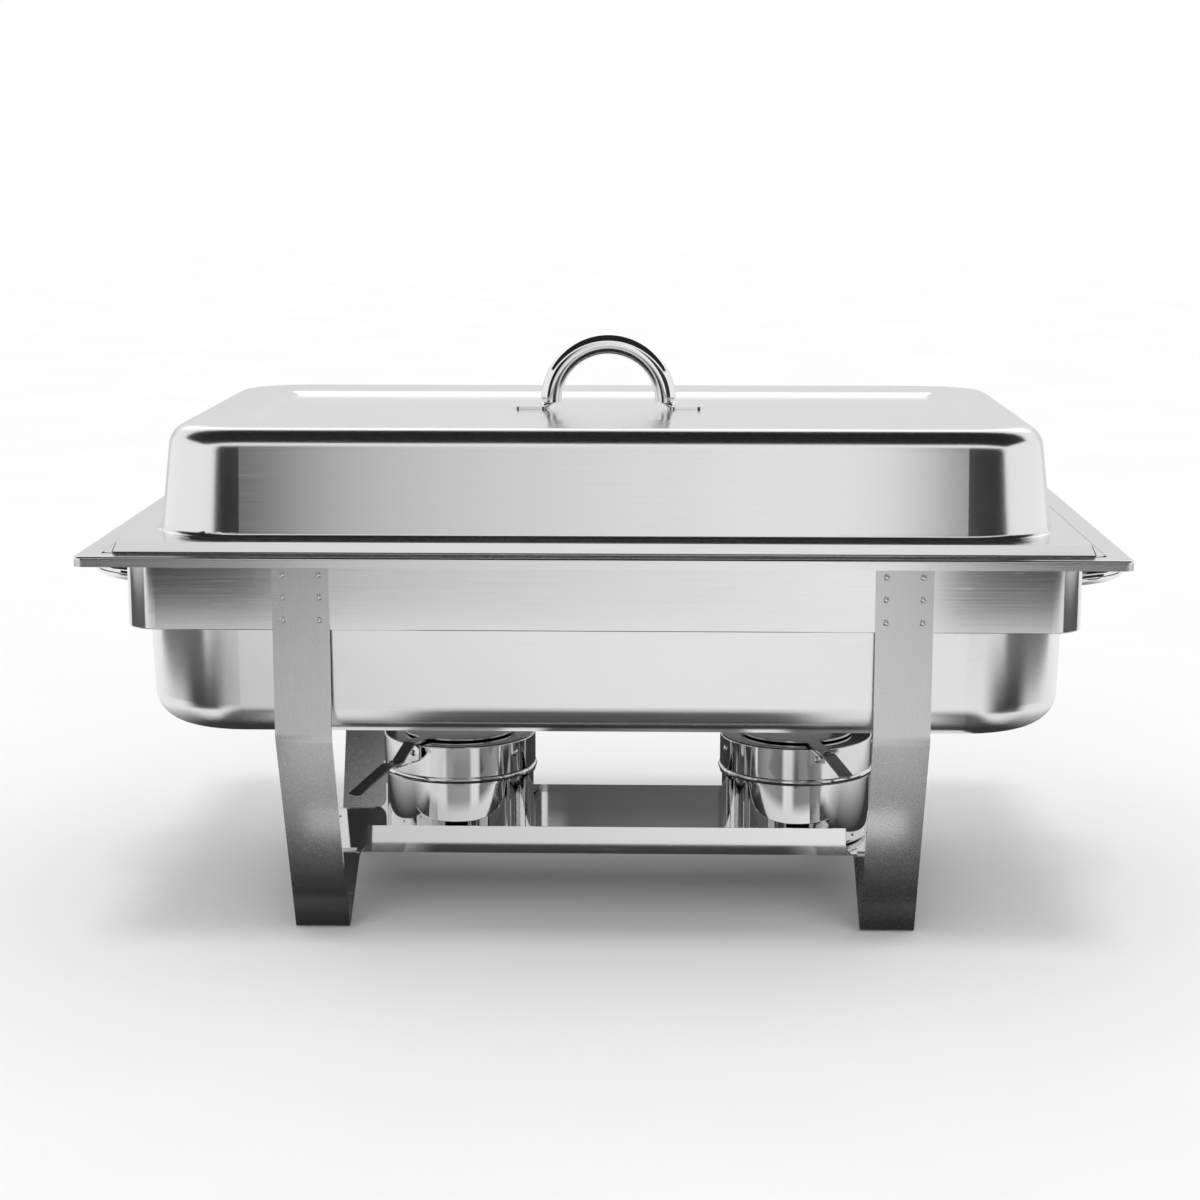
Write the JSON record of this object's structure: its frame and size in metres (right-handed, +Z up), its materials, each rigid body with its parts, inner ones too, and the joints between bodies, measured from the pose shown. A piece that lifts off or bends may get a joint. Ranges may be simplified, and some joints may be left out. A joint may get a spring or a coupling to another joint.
{
  "type": "chafing dish food warmer",
  "caption": "Full size rectangular chafing dish: covered food pan hung in a water pan on a low strip-leg stand, warmed from below by sliding fuel burners with swing dampers",
  "frame": {"origin": "on the table under the middle of the dish", "axes": "+X along the long side to the guests' right, +Y away from the guests to the back, +Z up"},
  "size_m": [0.6132, 0.36, 0.3365],
  "materials": {
    "lid_steel": "satin brushed along the length, softly mirrored on the sunk panel",
    "pan_steel": "satin brushed along the length",
    "band_steel": "fine satin sheet",
    "strip_steel": "satin strip brushed along its length",
    "shelf_steel": "bright rolled sheet, nearly a mirror on the floor",
    "polished_steel": "polished tube",
    "burner_steel": "spun and polished, with fine turning lines",
    "rivet_steel": "plain rivet heads"
  },
  "bodies": {
    "frame": {"frame_band": "band_steel", "left_leg_strip": "strip_steel", "right_leg_strip": "strip_steel", "front_left_leg_rivets": "rivet_steel", "front_right_leg_rivets": "rivet_steel", "rear_left_leg_rivets": "rivet_steel", "rear_right_leg_rivets": "rivet_steel", "fuel_shelf": "shelf_steel", "shelf_rivets": "rivet_steel", "left_end_handle": "polished_steel", "right_end_handle": "polished_steel", "left_handle_rivets": "rivet_steel", "right_handle_rivets": "rivet_steel"},
    "water_pan": {"water_pan": "pan_steel"},
    "food_pan": {"food_pan": "pan_steel"},
    "lid": {"lid_shell": "lid_steel", "lid_handle": "polished_steel"},
    "left_burner": {"left_fuel_cup": "burner_steel"},
    "left_collar": {"left_burner_collar": "burner_steel", "left_collar_studs": "rivet_steel", "left_damper_bracket": "burner_steel", "left_bracket_rivet": "rivet_steel", "left_pivot_rivet": "rivet_steel"},
    "left_damper": {"left_damper": "burner_steel"},
    "right_burner": {"right_fuel_cup": "burner_steel"},
    "right_collar": {"right_burner_collar": "burner_steel", "right_collar_studs": "rivet_steel", "right_damper_bracket": "burner_steel", "right_bracket_rivet": "rivet_steel", "right_pivot_rivet": "rivet_steel"},
    "right_damper": {"right_damper": "burner_steel"}
  },
  "joints": [
    {"name": "water_pan_lift", "type": "slide", "parent": "frame", "child": "water_pan", "axis": [0, 0, 1], "range_m": [0, 0.13]},
    {"name": "food_pan_lift", "type": "slide", "parent": "water_pan", "child": "food_pan", "axis": [0, 0, 1], "range_m": [0, 0.09]},
    {"name": "lid_lift", "type": "slide", "parent": "food_pan", "child": "lid", "axis": [0, 0, 1], "range_m": [0, 0.12]},
    {"name": "left_burner_slide", "type": "slide", "parent": "frame", "child": "left_burner", "axis": [1, 0, 0], "range_m": [-0.024, 0.035]},
    {"name": "right_burner_slide", "type": "slide", "parent": "frame", "child": "right_burner", "axis": [1, 0, 0], "range_m": [-0.059, 0.004]},
    {"name": "left_collar_lift", "type": "slide", "parent": "left_burner", "child": "left_collar", "axis": [0, 0, 1], "range_m": [0, 0.024]},
    {"name": "right_collar_lift", "type": "slide", "parent": "right_burner", "child": "right_collar", "axis": [0, 0, 1], "range_m": [0, 0.024]},
    {"name": "left_damper_swing", "type": "hinge", "parent": "left_collar", "child": "left_damper", "pos_m": [-0.12651, -0.05682, 0.09], "axis": [0, 0, 1], "range_deg": [0, 70]},
    {"name": "right_damper_swing", "type": "hinge", "parent": "right_collar", "child": "right_damper", "pos_m": [0.13007, -0.06528, 0.09], "axis": [0, 0, 1], "range_deg": [-70, 0]}
  ]
}
